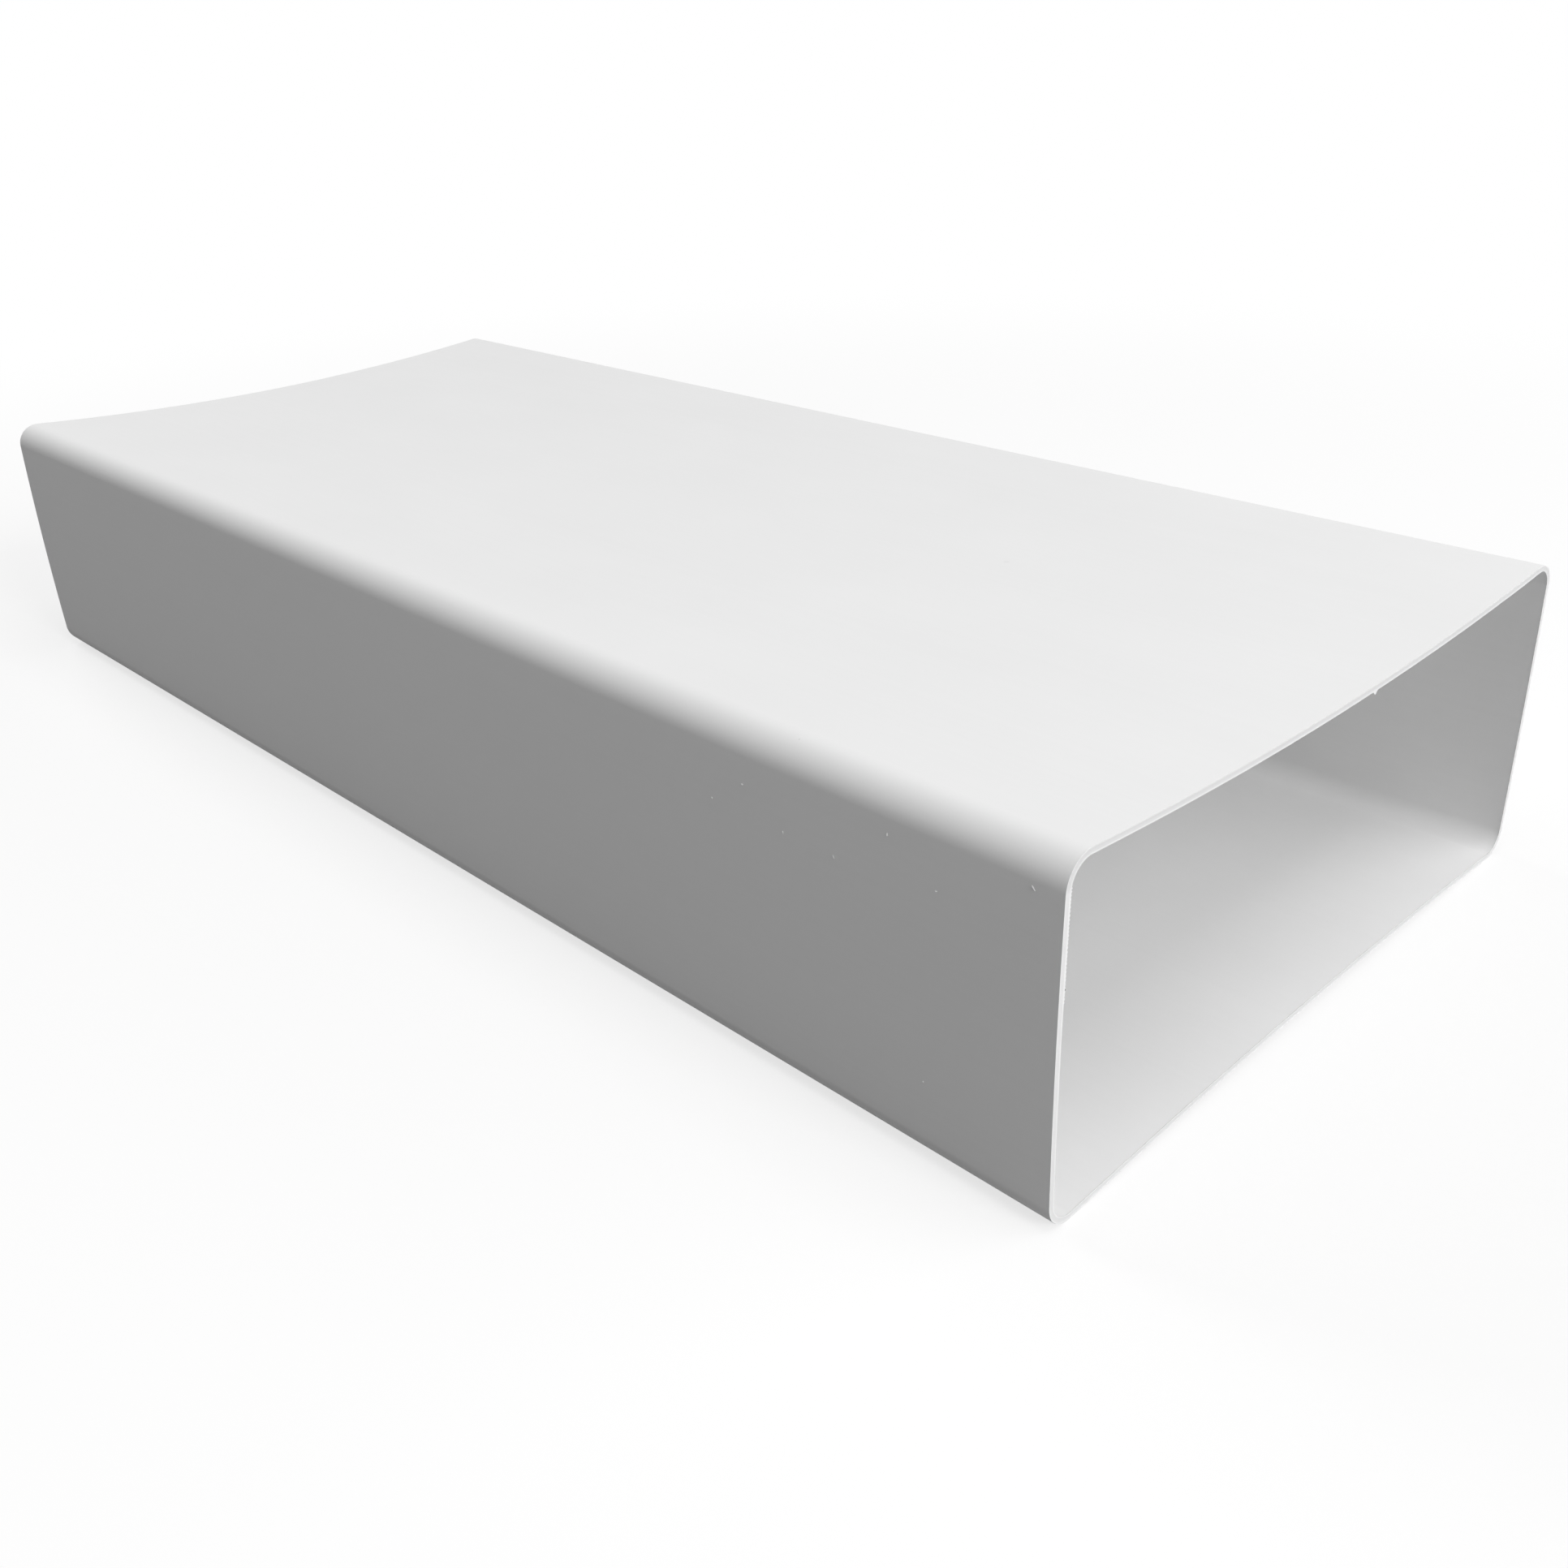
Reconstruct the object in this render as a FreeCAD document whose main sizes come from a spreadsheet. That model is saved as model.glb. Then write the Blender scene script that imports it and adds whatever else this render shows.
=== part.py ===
# Flat channel duct: one straight length of extruded white rigid PVC ventilation duct.
#
# The length runs along X, the width along Y, and Z is up. The origin is on the floor under the middle.
# The section is one closed wall of even thickness. Its broad walls are dished inwards and its narrow
# walls bow out a little, as the hot extrusion leaves them when it cools, and its four corners are alike.
# Both ends are sawn square and open.

import FreeCAD, Part
import Sketcher
import enum
import math
import os

# Driving dimensions in millimetres. The width and height are over the outside.
# A dish or a bow is how far the middle of a wall's outer face lies from its two corners.
SIZES = {
    "duct_length": 500.0,
    "duct_width": 220.0,
    "duct_height": 90.0,
    "wall_thickness": 1.6,
    "corner_radius": 7.5,
    "top_dish": 4.3,
    "bottom_dish": 2.7,
    "side_bow": 0.5,
}

QUARTER_TURN = math.pi / 2


class Place(enum.IntEnum):
    """How a sketch numbers the places on a piece of it: an arc's ends and centre, and a point itself."""

    START = 1
    END = 2
    CENTRE = 3
    POINT = 1


class Fixed(enum.IntEnum):
    """How a sketch numbers its own origin and upright axis."""

    ORIGIN = -1
    UPRIGHT_AXIS = -2


def add_sheet(doc):
    """The spreadsheet of driving dimensions, one named cell each."""
    sheet = doc.addObject("Spreadsheet::Sheet", "Sizes")
    for row, (name, value) in enumerate(SIZES.items(), start=1):
        sheet.set(f"A{row}", name)
        sheet.set(f"B{row}", str(value))
        sheet.setAlias(f"B{row}", name)
    doc.recompute()
    return sheet


def flat_point(across, up):
    return FreeCAD.Vector(across, up, 0)


def draw_outline(sketch, sheet):
    """Draws the outer outline anticlockwise, near its final shape, and gives its pieces' numbers by name.

    Four quarter circles are the corners, and an arc through three points is each wall between them.
    A point marks the middle of the top, the bottom and one narrow wall, where their depth is set.
    """
    height, radius = sheet.duct_height, sheet.corner_radius
    widest = sheet.duct_width / 2
    edge = widest - sheet.side_bow
    spread = edge - radius
    crests = {
        "top": flat_point(0, height - sheet.top_dish),
        "bottom": flat_point(0, sheet.bottom_dish),
        "right": flat_point(widest, height / 2),
        "left": flat_point(-widest, height / 2),
    }
    walls = {
        "top": (flat_point(-spread, height), crests["top"], flat_point(spread, height)),
        "bottom": (flat_point(spread, 0), crests["bottom"], flat_point(-spread, 0)),
        "right": (flat_point(edge, radius), crests["right"], flat_point(edge, height - radius)),
        "left": (flat_point(-edge, height - radius), crests["left"], flat_point(-edge, radius)),
    }
    corners = {
        "top_right": flat_point(spread, height - radius),
        "top_left": flat_point(-spread, height - radius),
        "bottom_left": flat_point(-spread, radius),
        "bottom_right": flat_point(spread, radius),
    }
    outline = {name: sketch.addGeometry(Part.Arc(*points)) for name, points in walls.items()}
    for turn, (name, centre) in enumerate(corners.items()):
        circle = Part.Circle(centre, FreeCAD.Vector(0, 0, 1), radius)
        quarter = Part.ArcOfCircle(circle, turn * QUARTER_TURN, (turn + 1) * QUARTER_TURN)
        outline[name] = sketch.addGeometry(quarter)
    for wall in ("top", "bottom", "right"):
        outline[f"{wall}_crest"] = sketch.addGeometry(Part.Point(crests[wall]))
    return outline


def join_outline(sketch, outline):
    """Makes the outline smooth and closed, its corners equal and its two halves mirror images."""

    def constrain(kind, *places):
        sketch.addConstraint(Sketcher.Constraint(kind, *places))

    smooth_joints = [
        ("right", Place.END, "top_right", Place.START),
        ("top_right", Place.END, "top", Place.END),
        ("top", Place.START, "top_left", Place.START),
        ("top_left", Place.END, "left", Place.START),
        ("left", Place.END, "bottom_left", Place.START),
        ("bottom_left", Place.END, "bottom", Place.END),
        ("bottom", Place.START, "bottom_right", Place.START),
        ("bottom_right", Place.END, "right", Place.START),
    ]
    for first, first_end, second, second_end in smooth_joints:
        constrain("Tangent", outline[first], first_end, outline[second], second_end)
    for corner in ("top_left", "bottom_left", "bottom_right"):
        constrain("Equal", outline["top_right"], outline[corner])
    constrain("Equal", outline["right"], outline["left"])
    for level in ("top", "bottom"):
        left, right = outline[f"{level}_left"], outline[f"{level}_right"]
        constrain("Symmetric", left, Place.CENTRE, right, Place.CENTRE, Fixed.UPRIGHT_AXIS)
        constrain("PointOnObject", outline[f"{level}_crest"], Place.POINT, Fixed.UPRIGHT_AXIS)
    constrain("Vertical", outline["top_right"], Place.CENTRE, outline["bottom_right"], Place.CENTRE)
    for wall in ("top", "bottom", "right"):
        constrain("PointOnObject", outline[f"{wall}_crest"], Place.POINT, outline[wall])


def dimension_outline(sketch, outline):
    """Ties the outline's size to the spreadsheet: each dimension runs from the origin to a place on it."""
    dimensions = [
        ("corner_spread", "DistanceX", "top_right", Place.CENTRE,
         "Sizes.duct_width / 2 - Sizes.side_bow - Sizes.corner_radius"),
        ("upper_corners", "DistanceY", "top_right", Place.CENTRE, "Sizes.duct_height - Sizes.corner_radius"),
        ("lower_corners", "DistanceY", "bottom_right", Place.CENTRE, "Sizes.corner_radius"),
        ("top_middle", "DistanceY", "top_crest", Place.POINT, "Sizes.duct_height - Sizes.top_dish"),
        ("bottom_middle", "DistanceY", "bottom_crest", Place.POINT, "Sizes.bottom_dish"),
        ("half_width", "DistanceX", "right_crest", Place.POINT, "Sizes.duct_width / 2"),
        ("half_height", "DistanceY", "right_crest", Place.POINT, "Sizes.duct_height / 2"),
    ]
    for name, kind, piece, place, formula in dimensions:
        point = sketch.getPoint(outline[piece], place)
        drawn = point.x if kind == "DistanceX" else point.y
        dimension = Sketcher.Constraint(kind, Fixed.ORIGIN, Place.POINT, outline[piece], place, drawn)
        bind(sketch, name, formula, dimension)
    corner = outline["top_right"]
    radius = Sketcher.Constraint("Radius", corner, sketch.Geometry[corner].Radius)
    bind(sketch, "corner_radius", "Sizes.corner_radius", radius)


def bind(sketch, name, formula, constraint):
    """Adds a dimension under a name of its own and gives it a formula on the spreadsheet."""
    number = sketch.addConstraint(constraint)
    sketch.renameConstraint(number, name)
    sketch.setExpression(f"Constraints.{name}", formula)


def is_sawn_end(face):
    """Whether a face is one of the two flat ends, square to the length."""
    return isinstance(face.Surface, Part.Plane) and abs(face.Surface.Axis.x) > 0.999


def add_duct(doc, sheet):
    """The duct: its outline extruded both ways from the middle, then hollowed out through both ends."""
    body = doc.addObject("PartDesign::Body", "Duct")
    body.Label = "flat_channel"

    section = body.newObject("Sketcher::SketchObject", "Section")
    plane = next(item for item in body.Origin.OriginFeatures if item.Role == "YZ_Plane")
    section.AttachmentSupport = (plane, "")
    section.MapMode = "FlatFace"
    outline = draw_outline(section, sheet)
    join_outline(section, outline)
    dimension_outline(section, outline)
    doc.recompute()
    if section.solve() != 0 or not section.FullyConstrained:
        raise RuntimeError("the section's sketch isn't solved and fully constrained")

    billet = body.newObject("PartDesign::Pad", "Billet")
    billet.Profile = section
    billet.SideType = "Symmetric"
    billet.setExpression("Length", "Sizes.duct_length")
    doc.recompute()

    hollow = body.newObject("PartDesign::Thickness", "Hollow")
    faces = enumerate(billet.Shape.Faces, start=1)
    hollow.Base = (billet, [f"Face{number}" for number, face in faces if is_sawn_end(face)])
    hollow.Reversed = True
    hollow.setExpression("Value", "Sizes.wall_thickness")
    doc.recompute()
    return body


def check(doc, parts):
    """Stops if an object failed, or a part isn't one valid solid."""
    for item in doc.Objects:
        if {"Invalid", "Error"} & set(item.State):
            raise RuntimeError(f"{item.Label} failed: {item.State}")
    for part in parts:
        shape = part.Shape
        if shape.isNull() or not shape.isValid() or len(shape.Solids) != 1:
            raise RuntimeError(f"{part.Label} isn't one valid solid")


def main():
    doc = FreeCAD.newDocument("flat_channel_duct")
    sheet = add_sheet(doc)
    parts = [add_duct(doc, sheet)]
    check(doc, parts)
    os.makedirs("parts", exist_ok=True)
    for part in parts:
        part.Shape.exportStep(f"parts/{part.Label}.step")
        box = part.Shape.BoundBox
        print(f"{part.Label}: {box.XLength:.3f} x {box.YLength:.3f} x {box.ZLength:.3f} mm,",
              f"volume {part.Shape.Volume / 1000:.2f} cm3")


main()
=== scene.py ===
"""A length of white flat channel duct, lying on a broad side, as a product photo shows it."""
import math

import bmesh
import bpy
from mathutils import Matrix, Vector, noise
from mathutils.bvhtree import BVHTree


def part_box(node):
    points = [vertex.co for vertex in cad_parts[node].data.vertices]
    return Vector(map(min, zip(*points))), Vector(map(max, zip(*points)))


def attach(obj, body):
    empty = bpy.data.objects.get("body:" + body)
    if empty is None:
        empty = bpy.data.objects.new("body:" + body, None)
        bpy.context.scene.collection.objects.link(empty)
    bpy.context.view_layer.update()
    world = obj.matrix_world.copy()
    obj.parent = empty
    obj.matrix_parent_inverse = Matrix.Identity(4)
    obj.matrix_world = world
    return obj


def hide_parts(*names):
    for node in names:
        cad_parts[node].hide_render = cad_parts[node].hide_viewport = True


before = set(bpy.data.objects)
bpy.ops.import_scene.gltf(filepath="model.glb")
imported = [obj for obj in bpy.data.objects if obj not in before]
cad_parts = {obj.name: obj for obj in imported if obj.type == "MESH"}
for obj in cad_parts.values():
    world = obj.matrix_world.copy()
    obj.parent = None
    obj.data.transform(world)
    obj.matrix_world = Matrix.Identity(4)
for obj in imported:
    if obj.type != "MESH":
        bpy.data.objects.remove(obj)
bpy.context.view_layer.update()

MM = 0.001

# The duct's overall size comes from the frame, less a hair, and its section repeats the solid's.
HAIR = 0.01 * MM
CAD_LOW, CAD_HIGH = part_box("flat_channel")
LOW = CAD_LOW + Vector((HAIR, HAIR, HAIR))
HIGH = CAD_HIGH - Vector((HAIR, HAIR, HAIR))
LENGTH, WIDTH, HEIGHT = HIGH - LOW
MID_HEIGHT = (LOW.z + HIGH.z) / 2
WALL = 1.6 * MM
CORNER_RADIUS = 7.5 * MM
TOP_DISH = 4.3 * MM
BOTTOM_DISH = 2.7 * MM
SIDE_BOW = 0.5 * MM
SPREAD = WIDTH / 2 - SIDE_BOW - CORNER_RADIUS

# The top sinks a little more towards the far end, and the broad walls waver, as a drawn extrusion does.
NEAR_SINK = -0.15 * MM
FAR_SINK = 0.45 * MM
WAVER = 0.1 * MM
WAVER_LENGTH = 70 * MM

# The saw leaves the cut's two edges standing a little above its middle, and the inner edge ragged.
CUT_EDGE = 0.36 * MM
CUT_HOLLOW = 0.1 * MM
CUT_FACING = 0.9
RIM_TURN = math.radians(45)
EDGE_BREAK = 0.09 * MM
EDGE_BREAK_STEPS = 2
SHARP_TURN = math.radians(50)
BURR_CUTS = 11
BURR_LEAST = 0.02 * MM
BURR_MOST = 0.12 * MM
BURR_ROOT = 0.3 * MM
BURR_SUNK = 0.03 * MM
BURR_STRETCH = 14 * MM
TOOTH_PITCH = 0.9 * MM
TOOTH_UNEVENNESS = 2.5
TEETH_TO_A_SWING = 4
NEAR_SEED = Vector((0, 0, 0))
FAR_SEED = Vector((3.7, 0, 0))

# At the near end a longer tag of swarf hangs from the top wall, and the side wall has a rough stretch.
TAG_ACROSS = 10 * MM
TAG_WIDTH = 2.2 * MM
TAG_DROP = 1.0 * MM
ROUGH_LOW = 58 * MM
ROUGH_HIGH = 84 * MM
ROUGH_DROP = 0.3 * MM

# How finely the section's arcs and the length are divided.
SIDE_STEPS = 10
CORNER_STEPS = 22
BROAD_STEPS = 32
LENGTH_STEPS = 64

# The photo's camera: where it stands, where it looks and how the frame sits on its axis.
PHOTO_PIXELS = 1932
CAMERA_PLACE = (0.39291, -0.31474, 0.23397)
CAMERA_AZIMUTH = 45.635
CAMERA_ELEVATION = 26.318
CAMERA_ROLL = -1.807
FOCAL_PIXELS = 1920.7
AXIS_PIXEL = (995, 936)
SENSOR_WIDTH = 36.0
CLIP_START = 0.01

# Sawdust stuck to the near side: along the duct, up from the floor, length and turn, in mm and degrees.
SIDE_SPECKS = (
    (151.8, 68.9, 0.6, 80),
    (162.2, 75.9, 0.55, 15),
    (175.0, 68.5, 0.8, 75),
    (175.8, 89.5, 0.4, 20),
    (190.4, 68.2, 1.2, 62),
    (205.7, 79.2, 0.8, 85),
    (218.9, 71.3, 0.6, 0),
    (242.7, 81.5, 1.4, 48),
    (189.7, 46.4, 0.5, 0),
    (220.9, 34.2, 0.6, 20),
    (215.9, 22.3, 0.6, 70),
)
SPECK_DEPTH = 0.5 * MM
SPECK_THICKNESS = 0.14 * MM
SPECK_LEAN = math.radians(35)
SPECK_ROOM = 1.6
GRAIN_WOBBLE = 0.2
WOBBLES_TO_A_GRAIN = 3

# A grain of grey grit is caught on the inner edge of the near cut, and the top has one faint round smudge.
GRIT_HEIGHT = 61 * MM
GRIT_SIZE = 0.5 * MM
GRIT_LENGTH = 0.75 * MM
GRIT_SET = 0.3 * MM
SMUDGE_PLACE = (131.7 * MM, 22.5 * MM, HIGH.z - TOP_DISH)
SMUDGE_CORE = 0.4 * MM
SMUDGE_RIM = 1.4 * MM

# The plastic's tone and finish, and how its sawn faces differ from its skin: greyer in the middle, partly
# sawing dust and partly painted shade, darker still on the top wall as painted shade, with a painted
# highlight along their edges.
PVC_WHITE = 0.84
PVC_DULLNESS = 0.78
PVC_SHEEN = 0.25
PVC_REFRACTION = 1.53
SAWN_DUST_AND_PAINTED_SHADE = 0.05
TOP_CUT_PAINTED_SHADE = 0.065
CUT_DULLNESS = 0.22
PAINTED_EDGE_HIGHLIGHT = 0.035
SMUDGE_GREY = 0.036
GRIT_GREY = 0.2
GRIT_MOTTLE = 0.15
GRIT_DULLNESS = 0.9

# How far behind the duct's ends the sawn tone, partly painted shade, and the painted highlight on the cut's
# edges start and are full.
SAWN_START = 1.3 * CUT_HOLLOW
SAWN_FULL = 1.05 * CUT_HOLLOW
CREST_START = 0.95 * CUT_HOLLOW
CREST_FULL = 0.7 * CUT_HOLLOW

# Patterns: repeats to the metre, stretch along the duct and levels of detail.
CLOUDS = (22, 1.5, 3)
DIE_LINES = (700, 400, 2)
SCRATCHES = (900, 60, 1)
GRAIN = (2600, 1, 2)
SAW_MARKS = (3500, 12, 2)
MOTTLE = (6000, 1, 2)
SCRATCH_START = 0.17
SCRATCH_FULL = 0.22

# How much each pattern tells in the tone, in the dullness and in the relief.
CLOUD_TONE = 0.05
DIE_TONE = 0.02
CLOUD_DULLNESS = 0.1
DIE_DULLNESS = 0.08
SCRATCH_DULLNESS = 0.1
GRAIN_RELIEF = 0.25
SCRATCH_RELIEF = 0.6
SAW_RELIEF = 4
RELIEF_STRENGTH = 0.25
RELIEF_DEPTH = 0.01 * MM

# The floor and the backdrop: white to the eye, with a share of the duct's shadow close to it.
WHITE = (1.0, 1.0, 1.0, 1.0)
FLOOR_RADIUS = 12
FLOOR_SIDES = 64
FLOOR_BOUNCE = 0.3
SHADOW_SHARE = 0.27
SHADOW_NEAR = 0.4
SHADOW_FAR = 0.9

# Soft lamps aimed at the duct: azimuth, elevation, distance, width, height and power, in degrees, m and W.
LAMPS = {
    "overhead": (0, 75, 2.4, 1.4, 1.4, 19.5),
    "front": (-4, 28, 3.0, 1.0, 0.8, 46),
    "front_right": (38, 30, 3.0, 2.8, 1.2, 33),
    "left_low": (-60, 10, 3.0, 2.0, 0.6, 8.3),
    "rear": (184, 30, 3.0, 1.8, 1.1, 42),
}


class Number:
    """A number that varies over a surface. Python's operators carry it on through Math nodes."""

    def __init__(self, recipe, socket):
        self.recipe = recipe
        self.socket = socket

    def math(self, operation, *values):
        node = self.recipe.add("ShaderNodeMath", {"operation": operation}, dict(enumerate(values)))
        return Number(self.recipe, node.outputs[0])

    def __add__(self, other):
        return self.math("ADD", self, other)

    def __sub__(self, other):
        return self.math("SUBTRACT", self, other)

    def __mul__(self, other):
        return self.math("MULTIPLY", self, other)

    def __rsub__(self, other):
        return self.math("SUBTRACT", other, self)

    def __abs__(self):
        return self.math("ABSOLUTE", self)

    __radd__ = __add__
    __rmul__ = __mul__

    def most(self, other):
        return self.math("MAXIMUM", self, other)

    def between(self, low, high):
        """How far the number is on its way from low to high, from 0 to 1, easing in and out."""
        values = {"Value": self, "From Min": low, "From Max": high}
        node = self.recipe.add("ShaderNodeMapRange", {"interpolation_type": "SMOOTHSTEP"}, values)
        return Number(self.recipe, node.outputs["Result"])


class Recipe:
    """The nodes of one material, or of the world."""

    def __init__(self, owner):
        owner.use_nodes = True
        self.tree = owner.node_tree
        self.tree.nodes.clear()

    def add(self, kind, settings=None, inputs=None):
        """Adds a node, sets it up, then gives its sockets their values or links."""
        node = self.tree.nodes.new(kind)
        for name, setting in (settings or {}).items():
            setattr(node, name, setting)
        for key, value in (inputs or {}).items():
            socket = node.inputs[key]
            source = value.socket if isinstance(value, Number) else value
            if isinstance(source, bpy.types.NodeSocket):
                self.tree.links.new(source, socket)
            else:
                socket.default_value = source
        return node

    def number(self, node, output):
        return Number(self, node.outputs[output])

    def seen(self):
        """One where the eye, a reflection or a view through something falls, and nought for other light."""
        path = self.add("ShaderNodeLightPath")
        kinds = [self.number(path, f"Is {kind} Ray") for kind in ("Camera", "Glossy", "Transmission")]
        return kinds[0].most(kinds[1]).most(kinds[2])


def spin_on(bm, vertex, along, across, up, angle, steps):
    """Draws an arc on from a vertex, about a centre in the section, and gives the vertex where it ends."""
    centre = (along, across, up)
    spun = bmesh.ops.spin(bm, geom=[vertex], cent=centre, axis=(1, 0, 0), angle=angle, steps=steps)
    return spun["geom_last"][0]


def draw_section(bm, along, inset=0.0):
    """Draws the section's closed outline at a place along the duct, set in from the outside.

    Half goes from the widest point up and down to the middle of the broad walls. A mirror adds the rest.
    """
    rise = HEIGHT / 2 - CORNER_RADIUS
    side_radius = (rise**2 + SIDE_BOW**2) / (2 * SIDE_BOW) + CORNER_RADIUS
    side_lean = math.asin(rise / (side_radius - CORNER_RADIUS))
    drawn = set(bm.verts) | set(bm.edges)
    start = bm.verts.new((along, WIDTH / 2 - inset, MID_HEIGHT))
    for dish, way in ((TOP_DISH, 1), (BOTTOM_DISH, -1)):
        broad_radius = (SPREAD**2 + dish**2) / (2 * dish) - CORNER_RADIUS
        broad_lean = math.asin(SPREAD / (broad_radius + CORNER_RADIUS))
        corner_turn = math.pi / 2 + broad_lean - side_lean
        broad_centre = MID_HEIGHT + way * (HEIGHT / 2 - dish + broad_radius)
        side_centre = WIDTH / 2 - side_radius
        end = spin_on(bm, start, along, side_centre, MID_HEIGHT, way * side_lean, SIDE_STEPS)
        end = spin_on(bm, end, along, SPREAD, MID_HEIGHT + way * rise, way * corner_turn, CORNER_STEPS)
        spin_on(bm, end, along, 0, broad_centre, -way * broad_lean, BROAD_STEPS)
    half = [item for item in bm.verts[:] + bm.edges[:] if item not in drawn]
    bmesh.ops.mirror(bm, geom=half, axis="Y", merge_dist=HAIR / 4)


def settle(vertex):
    """Lets a vertex of a broad wall sink and waver, by most in the wall's middle."""
    share = max(0.0, 1 - (vertex.co.y / SPREAD) ** 2)
    far = (HIGH.x - vertex.co.x) / LENGTH
    sink = NEAR_SINK + (FAR_SINK - NEAR_SINK) * far if vertex.co.z > MID_HEIGHT else 0.0
    waver = WAVER * noise.noise(vertex.co / WAVER_LENGTH)
    vertex.co.z += share * (waver - sink)


def add_piece(name, bm, material):
    """Makes a bmesh a piece of the duct in its finish, smooth but for its sharp edges."""
    for face in bm.faces:
        face.smooth = True
    for edge in bm.edges:
        edge.smooth = edge.calc_face_angle(0) < SHARP_TURN
    mesh = bpy.data.meshes.new(name)
    bm.to_mesh(mesh)
    bm.free()
    mesh.materials.append(material)
    piece = bpy.data.objects.new(name, mesh)
    bpy.context.scene.collection.objects.link(piece)
    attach(piece, "root")
    return piece


def make_duct(material):
    """The wall, drawn along its length, with its cuts hollowed. Gives its skin, to lay grains on."""
    bm = bmesh.new()
    draw_section(bm, LOW.x)
    bmesh.ops.spin(bm, geom=bm.edges[:], cent=(0, 0, 0), axis=(1, 0, 0), angle=0,
                   dvec=(LENGTH / LENGTH_STEPS, 0, 0), steps=LENGTH_STEPS)
    for vertex in bm.verts:
        settle(vertex)
    bmesh.ops.recalc_face_normals(bm, faces=bm.faces[:])
    bmesh.ops.solidify(bm, geom=bm.faces[:], thickness=WALL)
    cuts = [face for face in bm.faces if abs(face.normal.x) > CUT_FACING]
    bmesh.ops.inset_region(bm, faces=cuts, thickness=CUT_EDGE, depth=-CUT_HOLLOW, use_even_offset=True)
    rims = [edge for edge in bm.edges if edge.calc_face_angle(0) > RIM_TURN]
    bmesh.ops.bevel(bm, geom=rims, offset=EDGE_BREAK, offset_type="OFFSET", segments=EDGE_BREAK_STEPS,
                    profile=0.5, affect="EDGES", material=-1)
    skin = BVHTree.FromBMesh(bm)
    duct = add_piece("duct", bm, material)
    duct.modifiers.new("even_shading", "WEIGHTED_NORMAL")
    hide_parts("flat_channel")
    return skin


def burr_drop(place, seed):
    """How far the burr hangs from the inner edge of a cut: ragged, and heavier on some stretches."""
    stretch = 0.5 + 0.5 * noise.noise(place / BURR_STRETCH + seed)
    swing = TOOTH_UNEVENNESS * noise.noise(place / TOOTH_PITCH / TEETH_TO_A_SWING + seed)
    tooth = 0.5 + 0.5 * math.sin((place.y + place.z) / TOOTH_PITCH * 2 * math.pi + swing)
    drop = BURR_LEAST + BURR_MOST * stretch * tooth
    if place.x > 0 and place.z > MID_HEIGHT:
        drop += TAG_DROP * max(0.0, 1 - abs(place.y - TAG_ACROSS) / (TAG_WIDTH / 2))
        if place.y < -SPREAD and ROUGH_LOW < place.z < ROUGH_HIGH:
            drop += ROUGH_DROP * tooth
    return drop


def inward(vertex):
    """The way from a vertex of the section's outline into the duct, square to the wall."""
    first, second = [edge.other_vert(vertex).co for edge in vertex.link_edges]
    square = Vector((1, 0, 0)).cross(second - first).normalized()
    to_axis = Vector((vertex.co.x, 0, MID_HEIGHT)) - vertex.co
    return square if square.dot(to_axis) > 0 else -square


def make_burr(name, end, inwards, seed, material):
    """The ragged fin along the inner edge of a cut, drawn from a loop in the wall to its tip and back."""
    bm = bmesh.new()
    draw_section(bm, end + inwards * BURR_ROOT, WALL - BURR_SUNK)
    bmesh.ops.subdivide_edges(bm, edges=bm.edges[:], cuts=BURR_CUTS)
    edges = bm.edges[:]
    ways = {vertex: (vertex.co.copy(), inward(vertex)) for vertex in bm.verts}
    for stage in ("tip", "cut", "root"):
        made = bmesh.ops.extrude_edge_only(bm, edges=edges)["geom"]
        fresh = {item for item in made if isinstance(item, bmesh.types.BMVert)}
        drawn = [item for item in made if isinstance(item, bmesh.types.BMEdge)]
        edges = [edge for edge in drawn if fresh.issuperset(edge.verts)]
        carried = {}
        for vertex in fresh:
            neighbours = [edge.other_vert(vertex) for edge in vertex.link_edges]
            start, way = next(ways[old] for old in neighbours if old in ways)
            carried[vertex] = (start, way)
            vertex.co = start
            if stage == "tip":
                vertex.co += way * (BURR_SUNK + burr_drop(start, seed))
                vertex.co.x = end + inwards * BURR_SUNK
            elif stage == "cut":
                vertex.co -= way * CUT_EDGE
                vertex.co.x = end + inwards * (CUT_HOLLOW + HAIR)
        ways = carried
    bmesh.ops.remove_doubles(bm, verts=bm.verts[:], dist=HAIR / 10)
    for vertex in bm.verts:
        settle(vertex)
    bmesh.ops.recalc_face_normals(bm, faces=bm.faces[:])
    add_piece(name, bm, material)


def lay_grain(bm, place, lie, length, width, thickness):
    """Lays a small uneven lump at a place, flat in the plane that its lie gives."""
    shape = Matrix.Diagonal((length / 2, width / 2, thickness / 2, 1))
    laid = Matrix.Translation(place) @ lie @ shape
    made = bmesh.ops.create_icosphere(bm, subdivisions=2, radius=1, matrix=laid)
    for vertex in made["verts"]:
        wobble = noise.noise(vertex.co / (length / WOBBLES_TO_A_GRAIN))
        vertex.co = place + (vertex.co - place) * (1 + GRAIN_WOBBLE * wobble)


def make_sawdust(material, skin):
    """Flakes of sawdust stuck in the near side, leaning so that they catch light from above.

    None stands out past the side's widest line.
    """
    bm = bmesh.new()
    for along, up, length, turn in SIDE_SPECKS:
        place = skin.ray_cast(Vector((along * MM, LOW.y - WALL, up * MM)), Vector((0, 1, 0)))[0]
        room = place.y - LOW.y
        depth = min(SPECK_DEPTH, SPECK_ROOM * room / math.cos(SPECK_LEAN) + HAIR)
        lie = Matrix.Rotation(math.radians(turn), 4, "Y") @ Matrix.Rotation(SPECK_LEAN, 4, "X")
        lay_grain(bm, place, lie, length * MM, depth, min(SPECK_THICKNESS, depth / 2))
    add_piece("sawdust", bm, material)


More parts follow.
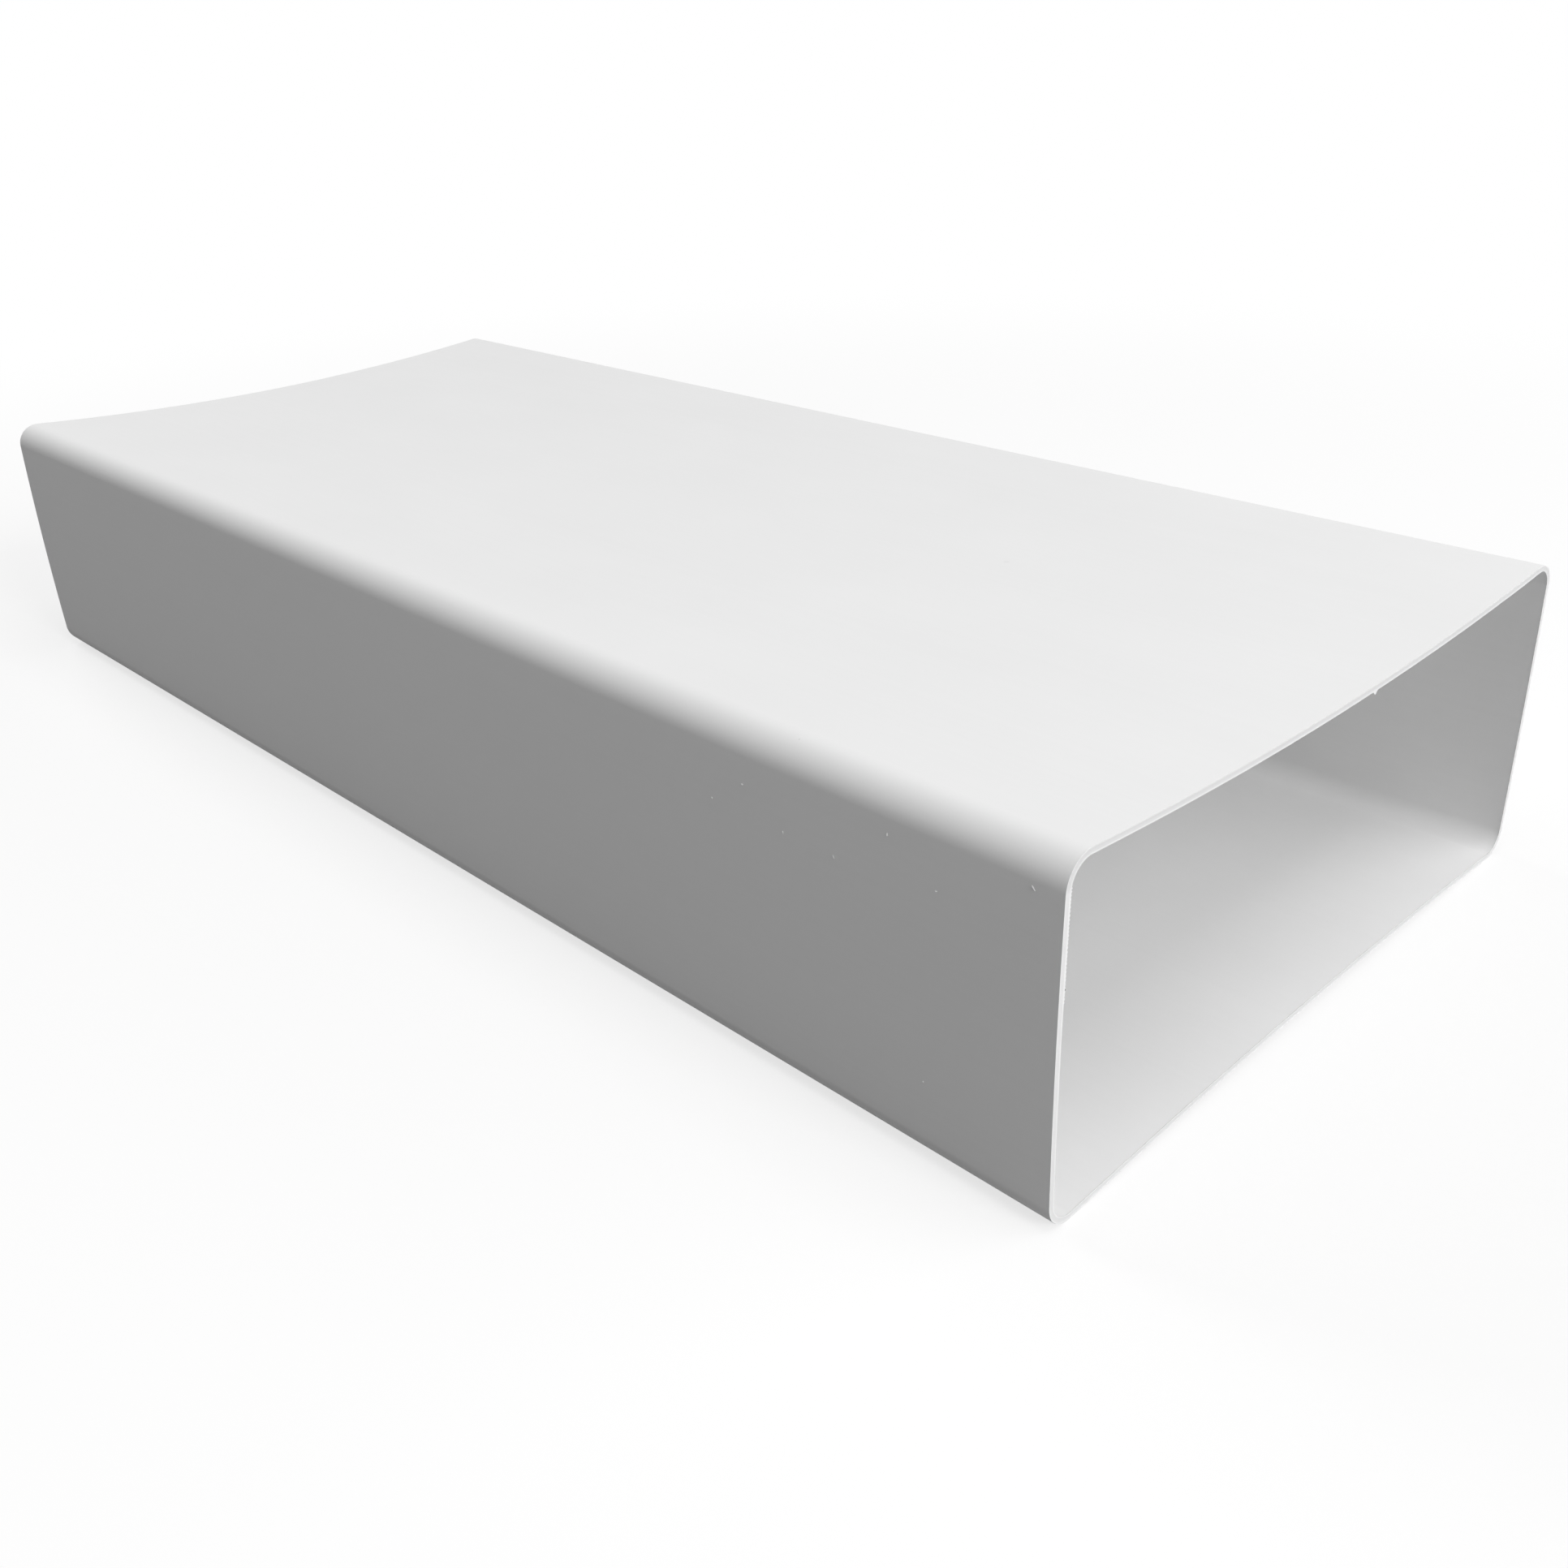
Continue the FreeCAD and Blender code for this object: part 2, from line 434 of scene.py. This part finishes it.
def make_grit(material, skin):
    """The grain of grit on the inner side of the near wall, just behind the cut."""
    bm = bmesh.new()
    beside = Vector((HIGH.x - GRIT_SET, 0, GRIT_HEIGHT))
    place = skin.ray_cast(beside, Vector((0, -1, 0)))[0]
    place.y += GRIT_SET
    lay_grain(bm, place, Matrix.Identity(4), GRIT_SIZE, GRIT_LENGTH, GRIT_SIZE)
    add_piece("grit", bm, material)


def pattern(recipe, place, scale, stretch, detail):
    """Soft noise about nought, so many times to the metre, drawn out along the duct by a stretch."""
    scales = (scale / stretch, scale, scale)
    mapped = recipe.add("ShaderNodeMapping", inputs={"Vector": place, "Scale": scales})
    cloud = recipe.add("ShaderNodeTexNoise", {"noise_dimensions": "3D"}, {
        "Vector": mapped.outputs[0], "Scale": 1.0, "Detail": detail, "Roughness": 0.5})
    return recipe.number(cloud, "Fac") - 0.5


def white_pvc():
    """Satin white plastic: faint clouds, die lines and scratches, and cuts greyer in the middle, partly
    sawing dust and partly painted shade, darker on the top wall as painted shade, with a painted highlight
    along their edges.
    """
    material = bpy.data.materials.new("white_pvc")
    recipe = Recipe(material)
    place = recipe.add("ShaderNodeTexCoord").outputs["Object"]
    axes = recipe.add("ShaderNodeSeparateXYZ", inputs={"Vector": place})
    from_middle = abs(recipe.number(axes, "X"))
    top_wall = recipe.number(axes, "Z").between(HIGH.z - CORNER_RADIUS, HIGH.z - TOP_DISH - WALL)
    sawn = from_middle.between(HIGH.x - SAWN_START, HIGH.x - SAWN_FULL)
    crest = from_middle.between(HIGH.x - CREST_START, HIGH.x - CREST_FULL)
    ends = {0: place, 1: SMUDGE_PLACE}
    from_smudge = recipe.add("ShaderNodeVectorMath", {"operation": "DISTANCE"}, ends)
    smudge = 1 - recipe.number(from_smudge, "Value").between(SMUDGE_CORE, SMUDGE_RIM)
    clouds = pattern(recipe, place, *CLOUDS)
    die_lines = pattern(recipe, place, *DIE_LINES)
    scratches = pattern(recipe, place, *SCRATCHES).between(SCRATCH_START, SCRATCH_FULL)
    grain = pattern(recipe, place, *GRAIN)
    saw_marks = pattern(recipe, place, *SAW_MARKS)

    # The cut is painted greyer in its hollow middle, partly sawing dust and partly painted shade, with
    # painted shade added on the top wall's cut, and a painted highlight on its proud edges.
    cut_tone_and_painted_light = (SAWN_DUST_AND_PAINTED_SHADE + PAINTED_EDGE_HIGHLIGHT) * crest - (SAWN_DUST_AND_PAINTED_SHADE + TOP_CUT_PAINTED_SHADE * top_wall) * sawn
    skin_tone = PVC_WHITE * (1 + CLOUD_TONE * clouds + DIE_TONE * die_lines)
    white = skin_tone + cut_tone_and_painted_light - SMUDGE_GREY * smudge
    colour = recipe.add("ShaderNodeCombineColor", inputs={0: white, 1: white, 2: white})
    skin_dullness = PVC_DULLNESS + CLOUD_DULLNESS * clouds + DIE_DULLNESS * die_lines
    dullness = skin_dullness + SCRATCH_DULLNESS * scratches + CUT_DULLNESS * sawn
    relief = die_lines + GRAIN_RELIEF * grain - SCRATCH_RELIEF * scratches + (SAW_RELIEF * saw_marks) * sawn
    bump = recipe.add("ShaderNodeBump", inputs={
        "Strength": RELIEF_STRENGTH, "Distance": RELIEF_DEPTH, "Height": relief})
    shader = recipe.add("ShaderNodeBsdfPrincipled", inputs={
        "Base Color": colour.outputs[0], "Roughness": dullness, "IOR": PVC_REFRACTION,
        "Specular IOR Level": PVC_SHEEN, "Normal": bump.outputs[0]})
    recipe.add("ShaderNodeOutputMaterial", inputs={"Surface": shader.outputs[0]})
    return material


def grey_grit():
    material = bpy.data.materials.new("grey_grit")
    recipe = Recipe(material)
    place = recipe.add("ShaderNodeTexCoord").outputs["Object"]
    grey = GRIT_GREY + GRIT_MOTTLE * pattern(recipe, place, *MOTTLE)
    colour = recipe.add("ShaderNodeCombineColor", inputs={0: grey, 1: grey, 2: grey})
    shader = recipe.add("ShaderNodeBsdfPrincipled", inputs={
        "Base Color": colour.outputs[0], "Roughness": GRIT_DULLNESS})
    recipe.add("ShaderNodeOutputMaterial", inputs={"Surface": shader.outputs[0]})
    return material


def add_camera():
    camera = bpy.data.cameras.new("photo_camera")
    camera.sensor_width = SENSOR_WIDTH
    camera.lens = SENSOR_WIDTH * FOCAL_PIXELS / PHOTO_PIXELS
    camera.shift_x = 0.5 - AXIS_PIXEL[0] / PHOTO_PIXELS
    camera.shift_y = AXIS_PIXEL[1] / PHOTO_PIXELS - 0.5
    camera.clip_start = CLIP_START
    stand = bpy.data.objects.new("photo_camera", camera)
    turn = Matrix.Rotation(math.radians(CAMERA_AZIMUTH), 4, "Z")
    tilt = Matrix.Rotation(math.radians(90 - CAMERA_ELEVATION), 4, "X")
    roll = Matrix.Rotation(math.radians(CAMERA_ROLL), 4, "Z")
    stand.matrix_world = Matrix.Translation(CAMERA_PLACE) @ turn @ tilt @ roll
    bpy.context.scene.collection.objects.link(stand)
    bpy.context.scene.camera = stand


def add_floor():
    """A pale floor, white to the eye but for part of the shadow that the duct throws on it."""
    material = bpy.data.materials.new("pale_floor")
    material.cycles.emission_sampling = "NONE"
    recipe = Recipe(material)
    glow = recipe.add("ShaderNodeEmission", inputs={"Color": WHITE, "Strength": 1.0})
    paper = recipe.add("ShaderNodeBsdfDiffuse", inputs={"Color": WHITE})
    place = recipe.add("ShaderNodeTexCoord").outputs["Object"]
    away = recipe.number(recipe.add("ShaderNodeVectorMath", {"operation": "LENGTH"}, {0: place}), "Value")
    share = SHADOW_SHARE * (1 - away.between(SHADOW_NEAR, SHADOW_FAR))
    shown = recipe.add("ShaderNodeMixShader", inputs={0: share, 1: glow.outputs[0], 2: paper.outputs[0]})
    grey = (FLOOR_BOUNCE, FLOOR_BOUNCE, FLOOR_BOUNCE, 1)
    bounce = recipe.add("ShaderNodeBsdfDiffuse", inputs={"Color": grey})
    both = recipe.add("ShaderNodeMixShader",
                      inputs={0: recipe.seen(), 1: bounce.outputs[0], 2: shown.outputs[0]})
    recipe.add("ShaderNodeOutputMaterial", inputs={"Surface": both.outputs[0]})
    bm = bmesh.new()
    bmesh.ops.create_circle(bm, cap_ends=True, segments=FLOOR_SIDES, radius=FLOOR_RADIUS)
    mesh = bpy.data.meshes.new("floor")
    bm.to_mesh(mesh)
    bm.free()
    mesh.materials.append(material)
    floor = bpy.data.objects.new("floor", mesh)
    bpy.context.scene.collection.objects.link(floor)


def add_backdrop():
    """The world: white to the eye and in reflections, and no light of its own."""
    world = bpy.data.worlds.new("studio")
    bpy.context.scene.world = world
    recipe = Recipe(world)
    shown = recipe.add("ShaderNodeBackground", inputs={"Color": WHITE, "Strength": 1.0})
    only_seen = recipe.add("ShaderNodeMixShader", inputs={0: recipe.seen(), 2: shown.outputs[0]})
    recipe.add("ShaderNodeOutputWorld", inputs={"Surface": only_seen.outputs[0]})


def add_lamp(name, azimuth, elevation, distance, width, height, power):
    lamp = bpy.data.lights.new(name, "AREA")
    lamp.shape = "RECTANGLE"
    lamp.size = width
    lamp.size_y = height
    lamp.energy = power
    stand = bpy.data.objects.new(name, lamp)
    turn = Matrix.Rotation(math.radians(azimuth), 4, "Z")
    lift = Matrix.Rotation(math.radians(-elevation), 4, "Y")
    stand.location = turn @ lift @ Vector((distance, 0, 0))
    stand.rotation_euler = (-stand.location).to_track_quat("-Z", "Y").to_euler()
    bpy.context.scene.collection.objects.link(stand)


plastic = white_pvc()
duct_skin = make_duct(plastic)
make_burr("near_burr", HIGH.x, -1, NEAR_SEED, plastic)
make_burr("far_burr", LOW.x, 1, FAR_SEED, plastic)
make_sawdust(plastic, duct_skin)
make_grit(grey_grit(), duct_skin)
add_floor()
add_backdrop()
for lamp_name, lamp_setup in LAMPS.items():
    add_lamp(lamp_name, *lamp_setup)
add_camera()
bpy.context.scene.view_settings.view_transform = "Standard"
